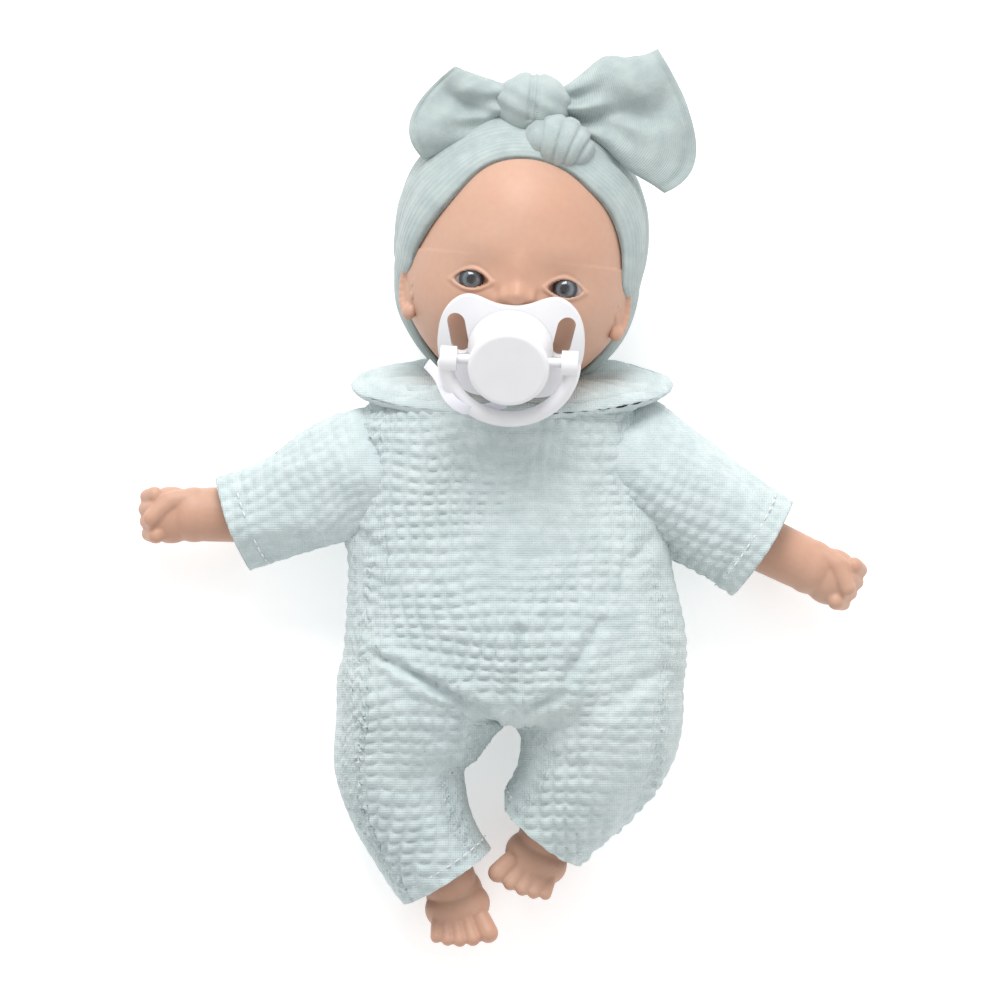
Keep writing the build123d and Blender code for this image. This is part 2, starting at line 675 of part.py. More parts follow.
def build_button():
    cap = module_at(BUTTON_X, 0, CASE_HALF - CASE_WALL - 0.8) * upright_disc(BUTTON_RADIUS, 5.6)
    cap = fillet(cap.edges().sort_by(Axis.Z)[-1], 1.6)
    flange = module_at(BUTTON_X, 0, CASE_HALF - CASE_WALL - 1.4) * upright_disc(BUTTON_RADIUS + 1.4, 1.3)
    stem = module_at(BUTTON_X, 0, 4.6 + BUTTON_TRAVEL + 0.3) * upright_disc(1.6, 6.0)
    write(cap + flange + stem, "press_button")
    spring = module_at(BUTTON_X, 0, 2.32) * upright_disc(5.6, CASE_HALF - CASE_WALL - 1.42 - 2.32)
    bore = module_at(BUTTON_X, 0, 2.0) * upright_disc(4.6, 20)
    write(spring - bore, "button_spring")


def build_switch():
    start = -SWITCH_TRAVEL / 2
    stem = module_at(start, 13.2, -CASE_HALF - 0.6) * Box(
        6.0, 4.0, 3.2, align=(Align.CENTER, Align.CENTER, Align.MIN))
    foot = module_at(start, 13.2, -CASE_HALF + CASE_WALL + 0.1) * Box(
        9.0, 6.0, 1.2, align=(Align.CENTER, Align.CENTER, Align.MIN))
    write(stem + foot, "power_switch")


def build_all():
    os.makedirs("parts", exist_ok=True)
    build_torso()
    head = build_head()
    build_headband(head)
    build_pacifier()
    build_ring()
    build_ribbon()
    for side in ("left", "right"):
        build_arm(side)
        build_leg(side)
    build_case_front()
    build_case_back()
    build_screws()
    build_battery_parts()
    build_battery_door()
    build_electronics()
    build_button()
    build_switch()


if __name__ == "__main__":
    build_all()
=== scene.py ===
import json
import math

import bmesh
import bpy
from mathutils import Matrix, Vector, noise


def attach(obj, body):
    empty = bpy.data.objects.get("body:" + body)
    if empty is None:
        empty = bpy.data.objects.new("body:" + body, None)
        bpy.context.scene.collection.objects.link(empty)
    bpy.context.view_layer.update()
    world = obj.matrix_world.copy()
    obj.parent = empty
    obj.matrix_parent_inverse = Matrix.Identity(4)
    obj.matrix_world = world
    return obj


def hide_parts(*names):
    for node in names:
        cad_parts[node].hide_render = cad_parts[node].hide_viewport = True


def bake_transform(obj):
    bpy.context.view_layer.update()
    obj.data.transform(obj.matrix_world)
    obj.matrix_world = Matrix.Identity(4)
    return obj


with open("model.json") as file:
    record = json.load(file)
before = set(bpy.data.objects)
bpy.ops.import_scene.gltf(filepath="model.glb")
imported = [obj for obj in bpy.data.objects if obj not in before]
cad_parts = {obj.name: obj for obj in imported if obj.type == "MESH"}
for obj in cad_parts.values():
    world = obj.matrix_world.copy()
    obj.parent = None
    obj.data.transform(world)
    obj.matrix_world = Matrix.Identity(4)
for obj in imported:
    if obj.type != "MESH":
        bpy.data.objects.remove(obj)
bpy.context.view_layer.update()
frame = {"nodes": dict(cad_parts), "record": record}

# Soft-bodied baby doll on its back.  Shapes are worked out in millimetres and written in metres.
MM = 0.001

# ---- sizes, in millimetres ----------------------------------------------------------
HEAD_MIDDLE = Vector((5.9, 77.0, 41.0))
HEAD_LEAN = math.radians(-6.0)
HEAD = Matrix.Translation(HEAD_MIDDLE) @ Matrix.Rotation(HEAD_LEAN, 4, "Z")
EYES = {"left_eye": Vector((-14.4, -8.4, 26.4)), "right_eye": Vector((15.5, -8.4, 26.4))}
EYE_RADIUS = 7.0
SKULL = Vector((36.2, 45.0, 38.4))   # the skull's half sizes under the headband
NECK_Y, NECK_END_Y, NECK_Z = -38.0, -56.0, -2.0
PACIFIER = (HEAD @ Matrix.Translation((0.3, -28.2, 33.0)) @ Matrix.Rotation(math.radians(25.0), 4, "X")
            @ Matrix.Rotation(math.radians(4.0), 4, "Z"))
CLOTH = 1.0                  # wall of the gauze
CELL = 4.6                   # one puff of the crinkled gauze
PUFF = 0.62                  # how far a puff stands out
BODY_MIDDLE = (2.0, 30.0)    # x and z of the line that the gauze wraps round
BODY_WRAP = 46.0             # radius that turns an angle round the body into a length
FLOOR_GAP = 0.1              # how far cloth stays above what the doll lies on

# y, half width, half thickness, middle x, middle z
TORSO = [(40.0, 22.0, 17.0, 2.0, 33.0), (34.0, 38.0, 26.5, 0.0, 31.0), (25.0, 46.5, 30.0, 0.0, 30.5),
         (4.0, 49.5, 30.0, 0.5, 29.5), (-22.0, 51.5, 31.0, 3.0, 29.5), (-46.0, 54.0, 30.5, 4.5, 29.5),
         (-60.0, 52.5, 28.0, 4.0, 28.5), (-67.0, 42.0, 21.0, 3.0, 27.5)]
# middle of each section, half width, half thickness
LEGS = {
    "left": [(Vector((-24.0, -50.0, 28.0)), 24.0, 24.0), (Vector((-27.5, -66.0, 26.8)), 26.2, 25.6),
             (Vector((-32.6, -83.0, 24.5)), 20.9, 21.6), (Vector((-28.8, -99.0, 22.0)), 18.9, 19.4),
             (Vector((-23.0, -111.0, 20.2)), 17.2, 17.8), (Vector((-17.0, -120.4, 18.8)), 16.6, 16.9)],
    "right": [(Vector((28.0, -50.0, 28.0)), 24.0, 24.0), (Vector((32.0, -65.0, 26.8)), 27.0, 25.6),
              (Vector((30.2, -80.0, 25.0)), 24.6, 23.8), (Vector((24.2, -92.0, 22.8)), 20.4, 20.8),
              (Vector((18.4, -99.4, 20.6)), 18.0, 18.8), (Vector((12.8, -106.2, 18.8)), 17.2, 17.0)],
}
LEG_PAST_HEM = 4.0           # how far a leg is formed past its hem before the hem is cut
CROTCH = Vector((1.2, -70.5, 0.0))
HIP_RIM = {"left": Vector((-56.0, -46.0, 0.0)), "right": Vector((61.0, -46.0, 0.0))}
HIP_Z = 26.0
HIP_STRETCH = 26.0           # length along the leg from the hip crease to a point that finish_leg works out and does not use
NECK_CUT_Y = 36.5
# the sleeve's radius is "top" at the shoulder and "end" at the cuff
ARMS = {
    "left": {"shoulder": Vector((-40.0, 9.0, 28.0)), "cuff": Vector((-85.4, -7.8, 20.8)),
             "top": 20.8, "end": 15.6, "side": -1,
             "elbow": Vector((-70.0, -4.6, 21.0)), "fist": Vector((-106.6, -5.0, 16.0))},
    "right": {"shoulder": Vector((40.0, 12.5, 28.0)), "cuff": Vector((83.6, -15.8, 21.2)),
              "top": 21.4, "end": 17.8, "side": 1,
              "elbow": Vector((70.0, -7.5, 22.0)), "fist": Vector((106.7, -25.2, 16.5))},
}
SLEEVE_WALL = 1.1

# ---- colours ----------------------------------------------------------------------------
WHITE = (1.0, 1.0, 1.0)
GAUZE = (0.58, 0.652, 0.648)
JERSEY = (0.42, 0.485, 0.475)
SKIN = (0.54, 0.335, 0.245)
SATIN = (0.8, 0.8, 0.86)
EYE_WHITE = (0.6, 0.58, 0.56)
# distance from the middle of the eye, as a share of its radius, and the colour there
IRIS = [(0.0, (0.004, 0.004, 0.006)), (0.20, (0.006, 0.007, 0.009)), (0.235, (0.07, 0.085, 0.10)),
        (0.36, (0.13, 0.155, 0.175)), (0.43, (0.03, 0.036, 0.045)), (0.54, (0.008, 0.009, 0.012)),
        (0.60, (0.24, 0.20, 0.19)), (0.72, (0.4, 0.34, 0.32))]


# ---- mesh helpers ---------------------------------------------------------------------
def smoothstep(low, high, value):
    """0 below low, 1 above high, and an even ease between them."""
    t = min(max((value - low) / (high - low), 0.0), 1.0)
    return t * t * (3.0 - 2.0 * t)


def bell(distance, width):
    """1 at no distance, falling off smoothly over the width."""
    return math.exp(-(distance / width) ** 2)


def blended(stations, v):
    """A smooth value at v, from 0 to 1, along a list of equal-length tuples."""
    spans = len(stations) - 1
    at = min(max(v, 0.0), 1.0) * spans
    index = min(int(at), spans - 1)
    t = at - index
    knots = [stations[min(max(index + step, 0), spans)] for step in (-1, 0, 1, 2)]
    values = []
    for a, b, c, d in zip(*knots):
        values.append(0.5 * (2 * b + (c - a) * t + (2 * a - 5 * b + 4 * c - d) * t * t
                             + (3 * b - a - 3 * c + d) * t ** 3))
    return values


def flat_list(stations):
    """Stations of (point, width, thickness) as plain tuples of numbers."""
    return [tuple(point) + tuple(rest) for point, *rest in stations]


def formed_grid(columns, rows, place):
    """A grid moved to place(u, v), with u and v from 0 to 1, whose meeting edges are joined."""
    bm = bmesh.new()
    bmesh.ops.create_grid(bm, x_segments=columns, y_segments=rows, size=0.5)
    layer = bm.loops.layers.uv.new("UVMap")
    for face in bm.faces:
        for loop in face.loops:
            loop[layer].uv = (loop.vert.co.x + 0.5, loop.vert.co.y + 0.5)
    for vert in bm.verts:
        vert.co = place(vert.co.x + 0.5, vert.co.y + 0.5)
    bmesh.ops.remove_doubles(bm, verts=bm.verts, dist=0.02)
    bmesh.ops.recalc_face_normals(bm, faces=bm.faces)
    return bm


def formed_ball(columns, rows, place):
    """A ball whose every vertex is moved to place(direction)."""
    bm = bmesh.new()
    bmesh.ops.create_uvsphere(bm, u_segments=columns, v_segments=rows, radius=1.0)
    for vert in bm.verts:
        vert.co = place(vert.co.normalized())
    bmesh.ops.recalc_face_normals(bm, faces=bm.faces)
    return bm


def ball_direction(u, v):
    """A direction from its share u of the way round and v of the way up a ball."""
    around = 2 * math.pi * u
    rise = math.pi * (v - 0.5)
    level = math.cos(rise)
    return Vector((level * math.cos(around), level * math.sin(around), math.sin(rise)))


def add_egg(bm, place, sizes, segments=24):
    """A ball with three half sizes, at a place."""
    matrix = place @ Matrix.Diagonal((*sizes, 1.0))
    bmesh.ops.create_uvsphere(bm, u_segments=segments, v_segments=segments // 2, radius=1.0,
                              matrix=matrix)


def add_bar(bm, start, end, radius, end_radius):
    """A round-ended bar between two points."""
    run = end - start
    turn = run.to_track_quat("Z", "Y").to_matrix().to_4x4()
    middle = Matrix.Translation((start + end) / 2) @ turn
    bmesh.ops.create_cone(bm, cap_ends=True, segments=24, radius1=radius, radius2=end_radius,
                          depth=run.length, matrix=middle)
    add_egg(bm, Matrix.Translation(start), (radius,) * 3)
    add_egg(bm, Matrix.Translation(end), (end_radius,) * 3)


def as_object(name, bm):
    """A new object in the scene that takes over the bmesh."""
    mesh = bpy.data.meshes.new(name)
    bm.to_mesh(mesh)
    bm.free()
    piece = bpy.data.objects.new(name, mesh)
    bpy.context.scene.collection.objects.link(piece)
    return piece


def applied(piece):
    """The piece with its modifiers made part of its mesh."""
    graph = bpy.context.evaluated_depsgraph_get()
    mesh = bpy.data.meshes.new_from_object(piece.evaluated_get(graph))
    piece.modifiers.clear()
    old = piece.data
    piece.data = mesh
    bpy.data.meshes.remove(old)
    return piece


def melted(name, bm, voxel, smoothing, subdivide=0):
    """Overlapping closed forms joined into one skin and softened."""
    piece = as_object(name, bm)
    remesh = piece.modifiers.new("Join", "REMESH")
    remesh.mode = "VOXEL"
    remesh.voxel_size = voxel
    soften = piece.modifiers.new("Soften", "SMOOTH")
    soften.factor = 0.5
    soften.iterations = smoothing
    if subdivide:
        finer = piece.modifiers.new("Finer", "SUBSURF")
        finer.levels = subdivide
        finer.render_levels = subdivide
    return applied(piece)


def settle(piece, material, body, replaces=()):
    """Scales a piece from millimetres, shades it smooth, and joins it to its body."""
    mesh = piece.data
    mesh.transform(Matrix.Scale(MM, 4))
    mesh.polygons.foreach_set("use_smooth", [True] * len(mesh.polygons))
    mesh.materials.clear()
    mesh.materials.append(material)
    mesh.update()
    if body:
        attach(piece, body)
    if replaces:
        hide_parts(*replaces)
    return piece


def walled(piece, thickness):
    """Gives an open skin its cloth thickness, inwards, with a crisp cut edge."""
    wall = piece.modifiers.new("Wall", "SOLIDIFY")
    wall.thickness = thickness
    wall.offset = -1.0
    wall.use_even_offset = False
    applied(piece)
    piece.data.set_sharp_from_angle(angle=math.radians(65.0))
    return piece


# ---- materials ---------------------------------------------------------------------------
BANDS_PER_UNIT = 3.2   # bands that a wave texture of scale 1 draws in one unit
# the colour sockets of a Mix node
MIX_UNDER, MIX_OVER, MIX_RESULT = 6, 7, 2


class Finish:
    """A material with a Principled shader and short ways to add procedural detail."""

    def __init__(self, name, colour, roughness, **sockets):
        self.material = bpy.data.materials.new(name)
        self.material.use_nodes = True
        self.nodes = self.material.node_tree.nodes
        self.links = self.material.node_tree.links
        self.shader = self.nodes["Principled BSDF"]
        self.shader.inputs["Base Color"].default_value = (*colour, 1.0)
        self.shader.inputs["Roughness"].default_value = roughness
        for socket, value in sockets.items():
            self.shader.inputs[socket.replace("_", " ").title().replace("Ior", "IOR")].default_value = value
        self.colour = None
        self.normal = None
        self.coordinates = self.nodes.new("ShaderNodeTexCoord").outputs["Object"]

    def centred_on(self, middle):
        """Coordinates measured from a point, in metres."""
        node = self.nodes.new("ShaderNodeMapping")
        node.inputs["Location"].default_value = -middle
        self.links.new(self.coordinates, node.inputs["Vector"])
        return node.outputs["Vector"]

    def noise(self, size_mm, detail=3.0):
        node = self.nodes.new("ShaderNodeTexNoise")
        node.inputs["Scale"].default_value = 1000.0 / size_mm
        node.inputs["Detail"].default_value = detail
        self.links.new(self.coordinates, node.inputs["Vector"])
        return node.outputs["Fac"]

    def waves(self, size_mm, direction, distortion=0.6):
        """Threads that repeat every size_mm along an axis."""
        node = self.nodes.new("ShaderNodeTexWave")
        node.wave_type = "BANDS"
        node.bands_direction = direction
        node.inputs["Scale"].default_value = 1000.0 / size_mm / BANDS_PER_UNIT
        node.inputs["Distortion"].default_value = distortion
        node.inputs["Detail"].default_value = 2.0
        node.inputs["Detail Scale"].default_value = 1.5
        self.links.new(self.coordinates, node.inputs["Vector"])
        return node.outputs["Fac"]

    def ramp(self, value, low, high, low_at=0.3, high_at=0.7):
        node = self.nodes.new("ShaderNodeValToRGB")
        node.color_ramp.elements[0].position = low_at
        node.color_ramp.elements[0].color = (*low, 1.0)
        node.color_ramp.elements[1].position = high_at
        node.color_ramp.elements[1].color = (*high, 1.0)
        self.links.new(value, node.inputs["Fac"])
        return node.outputs["Color"]

    def both_threads(self, size_mm, distortion=0.6):
        """Warp and weft added together."""
        node = self.nodes.new("ShaderNodeMath")
        node.operation = "ADD"
        for index, direction in enumerate("XY"):
            self.links.new(self.waves(size_mm, direction, distortion), node.inputs[index])
        return node.outputs["Value"]

    def multiplied(self, under, over):
        """Two colours multiplied; an under of None stands for the plain base colour."""
        node = self.nodes.new("ShaderNodeMix")
        node.data_type = "RGBA"
        node.blend_type = "MULTIPLY"
        node.inputs["Factor"].default_value = 1.0
        if under is None:
            node.inputs[MIX_UNDER].default_value = self.shader.inputs["Base Color"].default_value
        else:
            self.links.new(under, node.inputs[MIX_UNDER])
        self.links.new(over, node.inputs[MIX_OVER])
        return node.outputs[MIX_RESULT]

    def tint(self, value, low, high, low_at=0.3, high_at=0.7):
        """Multiplies a two-colour ramp of value into the base colour."""
        self.colour = self.multiplied(self.colour, self.ramp(value, low, high, low_at, high_at))
        self.links.new(self.colour, self.shader.inputs["Base Color"])

    def relief(self, height, depth_mm, strength):
        """Adds a bump, on top of those already there."""
        node = self.nodes.new("ShaderNodeBump")
        node.inputs["Distance"].default_value = depth_mm * MM
        node.inputs["Strength"].default_value = strength
        self.links.new(height, node.inputs["Height"])
        if self.normal is not None:
            self.links.new(self.normal, node.inputs["Normal"])
        self.normal = node.outputs["Normal"]
        self.links.new(self.normal, self.shader.inputs["Normal"])


def gauze_finish():
    """Crinkled double gauze: a loose plain weave with dry crumples and faint large patches."""
    finish = Finish("gauze", GAUZE, 0.9, sheen_weight=0.2, sheen_roughness=0.6)
    finish.tint(finish.noise(6.0, 4.0), (0.86, 0.88, 0.88), WHITE, 0.35, 0.62)
    finish.tint(finish.noise(60.0, 2.0), (0.94, 0.955, 0.98), WHITE, 0.35, 0.65)
    threads = finish.both_threads(0.75, 1.2)
    finish.tint(threads, (0.93, 0.94, 0.94), WHITE, 0.3, 1.2)
    finish.relief(finish.noise(3.4, 4.0), 0.7, 0.55)
    finish.relief(threads, 0.16, 0.5)
    return finish.material


def jersey_finish():
    """Fine ribbed muslin jersey, with the ribs along the band."""
    finish = Finish("jersey", JERSEY, 0.88, sheen_weight=0.2, sheen_roughness=0.5)
    uv = finish.nodes.new("ShaderNodeUVMap")
    uv.uv_map = "UVMap"
    ribs = finish.nodes.new("ShaderNodeTexWave")
    ribs.bands_direction = "Y"
    ribs.inputs["Scale"].default_value = 19.0
    ribs.inputs["Distortion"].default_value = 0.5
    ribs.inputs["Detail"].default_value = 2.0
    finish.links.new(uv.outputs["UV"], ribs.inputs["Vector"])
    finish.tint(ribs.outputs["Fac"], (0.93, 0.94, 0.94), WHITE, 0.2, 0.8)
    finish.tint(finish.noise(5.0, 4.0), (0.86, 0.88, 0.89), WHITE, 0.35, 0.65)
    finish.relief(ribs.outputs["Fac"], 0.22, 0.5)
    finish.relief(finish.noise(3.0, 3.0), 0.5, 0.5)
    finish.relief(finish.noise(0.8, 3.0), 0.14, 0.5)
    return finish.material


def skin_finish():
    """Warm satin vinyl with a rosier, mottled blush."""
    finish = Finish("skin", SKIN, 0.5, subsurface_weight=0.12, subsurface_scale=0.004,
                    specular_ior_level=0.4)
    finish.shader.inputs["Subsurface Radius"].default_value = (1.0, 0.45, 0.25)
    finish.tint(finish.noise(26.0, 3.0), (1.0, 0.93, 0.9), WHITE, 0.35, 0.65)
    finish.tint(finish.noise(2.2, 3.0), (0.97, 0.96, 0.95), WHITE, 0.3, 0.7)
    finish.relief(finish.noise(0.7, 3.0), 0.03, 0.35)
    return finish.material


def plastic_finish(name, colour, roughness, **sockets):
    """Moulded plastic with a faint grain and slight unevenness."""
    finish = Finish(name, colour, roughness, **sockets)
    finish.tint(finish.noise(9.0, 2.0), (0.975, 0.975, 0.98), WHITE, 0.35, 0.65)
    finish.relief(finish.noise(0.5, 2.0), 0.02, 0.3)
    return finish.material


def cloth_finish(name, colour, pitch_mm=0.7):
    """Plain woven cloth or cord."""
    finish = Finish(name, colour, 0.92, sheen_weight=0.2)
    threads = finish.both_threads(pitch_mm)
    finish.tint(threads, (0.88, 0.87, 0.85), WHITE, 0.3, 1.3)
    finish.tint(finish.noise(8.0, 3.0), (0.94, 0.93, 0.92), WHITE)
    finish.relief(threads, 0.15, 0.6)
    return finish.material


def metal_finish(name, colour, roughness):
    """Plated metal with faint tarnish."""
    finish = Finish(name, colour, roughness, metallic=1.0)
    finish.tint(finish.noise(1.2, 3.0), (0.85, 0.85, 0.85), WHITE)
    finish.relief(finish.noise(0.5, 2.0), 0.02, 0.4)
    return finish.material


def satin_finish():
    """Ribbon with a silky, one-way gloss."""
    finish = Finish("satin_ribbon", SATIN, 0.38, sheen_weight=0.3, anisotropic=0.5)
    finish.tint(finish.waves(0.35, "Y", 0.2), (0.93, 0.93, 0.95), WHITE, 0.2, 0.8)
    finish.relief(finish.waves(0.35, "Y", 0.2), 0.04, 0.5)
    return finish.material


def eye_finish(name, centre):
    """Dark-rimmed grey-blue iris under a clear gloss, centred on the eye's own middle."""
    finish = Finish(name, EYE_WHITE, 0.12, coat_weight=1.0, coat_roughness=0.03)
    flatten = finish.nodes.new("ShaderNodeVectorMath")
    flatten.operation = "MULTIPLY"
    flatten.inputs[1].default_value = (1.0 / MM, 1.0 / MM, 0.0)
    finish.links.new(finish.centred_on(centre * MM), flatten.inputs[0])
    length = finish.nodes.new("ShaderNodeVectorMath")
    length.operation = "LENGTH"
    finish.links.new(flatten.outputs["Vector"], length.inputs[0])
    share = finish.nodes.new("ShaderNodeMath")
    share.operation = "DIVIDE"
    share.inputs[1].default_value = EYE_RADIUS
    finish.links.new(length.outputs["Value"], share.inputs[0])
    rings = finish.nodes.new("ShaderNodeValToRGB")
    elements = rings.color_ramp.elements
    for element, (place, colour) in zip(elements, (IRIS[0], IRIS[-1])):
        element.position = place
        element.color = (*colour, 1)
    for place, colour in IRIS[1:-1]:
        elements.new(place).color = (*colour, 1)
    finish.links.new(share.outputs["Value"], rings.inputs["Fac"])
    rays = finish.ramp(finish.noise(0.5, 2.0), (0.75, 0.75, 0.75), (1.15, 1.15, 1.15))
    colour = finish.multiplied(rings.outputs["Color"], rays)
    finish.links.new(colour, finish.shader.inputs["Base Color"])
    return finish.material


# ---- camera, floor and light ------------------------------------------------------------
def make_camera():
    data = bpy.data.cameras.new("camera")
    data.lens = 900.0
    data.sensor_width = 36.0
    data.clip_end = 20.0
    camera = bpy.data.objects.new("camera", data)
    camera.location = (-0.0002, -0.0002, 8.03)
    bpy.context.scene.collection.objects.link(camera)
    bpy.context.scene.camera = camera


def make_floor():
    bm = bmesh.new()
    bmesh.ops.create_grid(bm, x_segments=8, y_segments=8, size=3.0)
    floor = as_object("floor", bm)
    finish = Finish("floor_paper", (0.8, 0.8, 0.8), 0.85, emission_strength=0.42)
    finish.shader.inputs["Emission Color"].default_value = (1.0, 1.0, 1.0, 1.0)
    finish.tint(finish.noise(400.0, 2.0), (0.985, 0.985, 0.985), WHITE)
    floor.data.materials.append(finish.material)
    floor.location.z = -0.0003


def make_light(name, place, target, size, power):
    data = bpy.data.lights.new(name, "AREA")
    data.size = size
    data.energy = power
    lamp = bpy.data.objects.new(name, data)
    lamp.location = place
    lamp.rotation_euler = (Vector(target) - Vector(place)).to_track_quat("-Z", "Y").to_euler()
    bpy.context.scene.collection.objects.link(lamp)


def make_world():
    world = bpy.data.worlds.new("studio")
    world.use_nodes = True
    background = world.node_tree.nodes["Background"]
    background.inputs["Color"].default_value = (1.0, 1.0, 1.0, 1.0)
    background.inputs["Strength"].default_value = 0.78
    bpy.context.scene.world = world
    bpy.context.scene.view_settings.view_transform = "Standard"


# ---- head ----------------------------------------------------------------------------------
# how far each form stands out, its places across, its width, its place up and its height
FACE_FORMS = [
    (2.2, (20.0, -20.0), 11.0, -22.0, 11.0),    # cheeks
    (4.6, (0.0,), 11.0, -25.0, 9.5),            # muzzle
    (2.4, (0.0,), 9.0, -37.0, 6.0),             # chin
    (3.7, (0.0,), 2.9, -12.2, 3.1),             # tip of the nose
    (1.1, (0.0,), 3.0, -5.0, 6.0),              # bridge of the nose
    (1.3, (4.7, -4.7), 1.9, -12.6, 2.2),        # wings of the nose
    (-1.0, (6.6, -6.6), 1.1, -11.6, 2.0),       # grooves beside the nose
    (-1.3, (12.5, -12.5), 8.0, -5.5, 5.5),      # eye hollows
    (0.5, (13.0, -13.0), 8.0, 3.0, 5.5),        # brows
    (1.2, (0.0,), 20.0, 20.0, 14.0),            # forehead
]
FACE_MIDDLE_X = 0.6
HEAD_WIDE, HEAD_TALL, HEAD_DEEP = 35.6, 45.0, 38.2
JAW_WIDE, JAW_TALL = 36.0, 43.5


def eyelids(x, y, middle):
    """The almond opening of one eye, with a rim round it and a crease above."""
    across = (x - middle.x) / 5.3
    if abs(across) >= 1.35:
        return 0.0
    up = (y - middle.y + 0.3 * across * across) / (2.75 - 0.9 * across * across)
    ring = math.sqrt(across * across + max(min(up, 3.0), -3.0) ** 2)
    crease = 1.0 if y > middle.y else 0.4
    return (0.75 * bell(ring - 1.22, 0.22) - 3.4 * (1.0 - smoothstep(0.86, 1.04, ring))
            - 0.35 * bell(ring - 1.62, 0.16) * crease)


def head_point(direction):
    """The face and skull, from a direction in the head's own frame."""
    x, y, z = direction
    wide = JAW_WIDE if y < 0 else HEAD_WIDE
    tall = HEAD_TALL if y > 0 else JAW_TALL
    base = Vector((x * wide, y * tall, z * HEAD_DEEP))
    # fuller cheeks and a narrower crown than an even ball
    base.x *= 1.0 + 0.05 * bell(base.y + 18.0, 14.0) - 0.04 * smoothstep(18.0, 45.0, base.y)
    if z > -0.2:
        out = 0.0
        for height, places, wide, up, tall in FACE_FORMS:
            across = sum(bell(base.x - FACE_MIDDLE_X - place, wide) for place in places)
            out += height * across * bell(base.y - up, tall)
        for middle in EYES.values():
            out += eyelids(base.x, base.y, middle)
        base += smoothstep(-0.2, 0.35, z) * out * Vector((x * 0.35, 0.0, 1.0))
    return HEAD @ base


def build_head(skin):
    turned = Matrix.Rotation(math.radians(90.0), 3, "X")
    columns, rows = ((330, 250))
    bm = formed_ball(columns, rows, lambda d: head_point(turned @ d))
    settle(as_object("face", bm), skin, "head", ["head_shell"])
    bm = bmesh.new()
    add_bar(bm, HEAD @ Vector((0, NECK_Y, NECK_Z)), HEAD @ Vector((0, NECK_END_Y, NECK_Z)), 13.5, 12.4)
    settle(melted("neck", bm, 1.2, 8), skin, "head")
    for name, sign in (("ear_left", -1), ("ear_right", 1)):
        build_ear(name, sign, skin)


def build_ear(name, sign, skin):
    """A small ear: an outer rim, an inner fold, a lobe and a hollow between them."""
    place = HEAD @ Matrix.Translation((sign * 32.2, -13.0, 10.0))
    place = place @ Matrix.Rotation(sign * math.radians(62), 4, "Y")
    bm = bmesh.new()
    add_egg(bm, place, (4.6, 9.4, 2.6))
    for step in range(15):
        angle = math.radians(-60 + step * 17) if sign > 0 else math.radians(240 - step * 17)
        at = Vector((3.9 * math.cos(angle), 1.0 + 8.2 * math.sin(angle), 2.0))
        add_egg(bm, place @ Matrix.Translation(at), (1.5, 1.7, 1.6), 12)
    add_egg(bm, place @ Matrix.Translation((-sign * 0.4, -7.6, 1.4)), (3.0, 2.8, 2.2), 16)
    add_egg(bm, place @ Matrix.Translation((-sign * 3.4, -2.0, 1.6)), (1.4, 2.2, 1.6), 12)
    settle(melted(name, bm, 0.5, 5), skin, "head")


def eye_point(direction, centre):
    """A round eye with a slightly raised clear front."""
    rise = 0.55 * bell(math.hypot(direction.x, direction.y), 0.5) if direction.z > 0 else 0.0
    return centre + direction * (EYE_RADIUS + rise)


def build_eyes():
    for name, middle in EYES.items():
        centre = HEAD @ middle
        bm = formed_ball(48, 32, lambda d: eye_point(d, centre))
        finish = eye_finish("eye_" + name.split("_")[0], centre)
        settle(as_object(name + "_ball", bm), finish, "head", [name])


# ---- headband ---------------------------------------------------------------------------------
def reach_to_skull(start, direction):
    """How far the skull's surface is from a point inside it."""
    p = Vector((start[i] / SKULL[i] for i in range(3)))
    d = Vector((direction[i] / SKULL[i] for i in range(3)))
    aa, bb, cc = d.dot(d), 2 * p.dot(d), p.dot(p) - 1.0
    root = max(bb * bb - 4 * aa * cc, 0.0)
    return (-bb + math.sqrt(root)) / (2 * aa)


def band_point(u, v):
    """The band: u runs round the head, v from the front edge to the back and home inside."""
    angle = 2 * math.pi * u
    side = math.sin(angle)           # -1 at the left, 1 at the right
    top = math.cos(angle)            # 1 at the forehead, -1 at the nape
    width = 44.0 - 10.0 * bell(top - 1.0, 0.2)
    front = 8.0 + 8.0 * smoothstep(-0.32, 0.02, top) - 2.5 * bell(top - 1.0, 0.12)
    front -= 3.4 * side * bell(abs(side) - 0.72, 0.3) * smoothstep(0.0, 0.4, top)
    outside = v < 0.5
    t = v * 2 if outside else 2 - v * 2
    shift = front - t * width
    lean = Vector((0.0, -0.39, 0.92))
    up = Vector((0.0, 0.92, 0.39))
    centre = lean * shift
    direction = (Vector((side, 0, 0)) + up * top).normalized()
    reach = reach_to_skull(centre, direction)
    puff = math.sin(math.pi * min(max(t, 0.0), 1.0)) ** 0.45
    full = 3.8 + 3.0 * bell(top - 0.62, 0.4) * abs(side) + 3.4 * smoothstep(0.05, 0.7, -top) * abs(side)
    crease = t - 0.3 - 0.06 * math.sin(angle * 2.0)
    fold = 1.3 * bell(crease, 0.05) + 1.0 * bell(crease - 0.24, 0.04) * smoothstep(0.2, 0.7, abs(side))
    ripple = 0.5 * noise.noise(Vector((side * 3.0, top * 3.0, t * 9.0)))
    lift = 0.35 + ((full + ripple) * puff - fold * puff if outside else 0.0)
    return HEAD @ (centre + direction * (reach + lift))


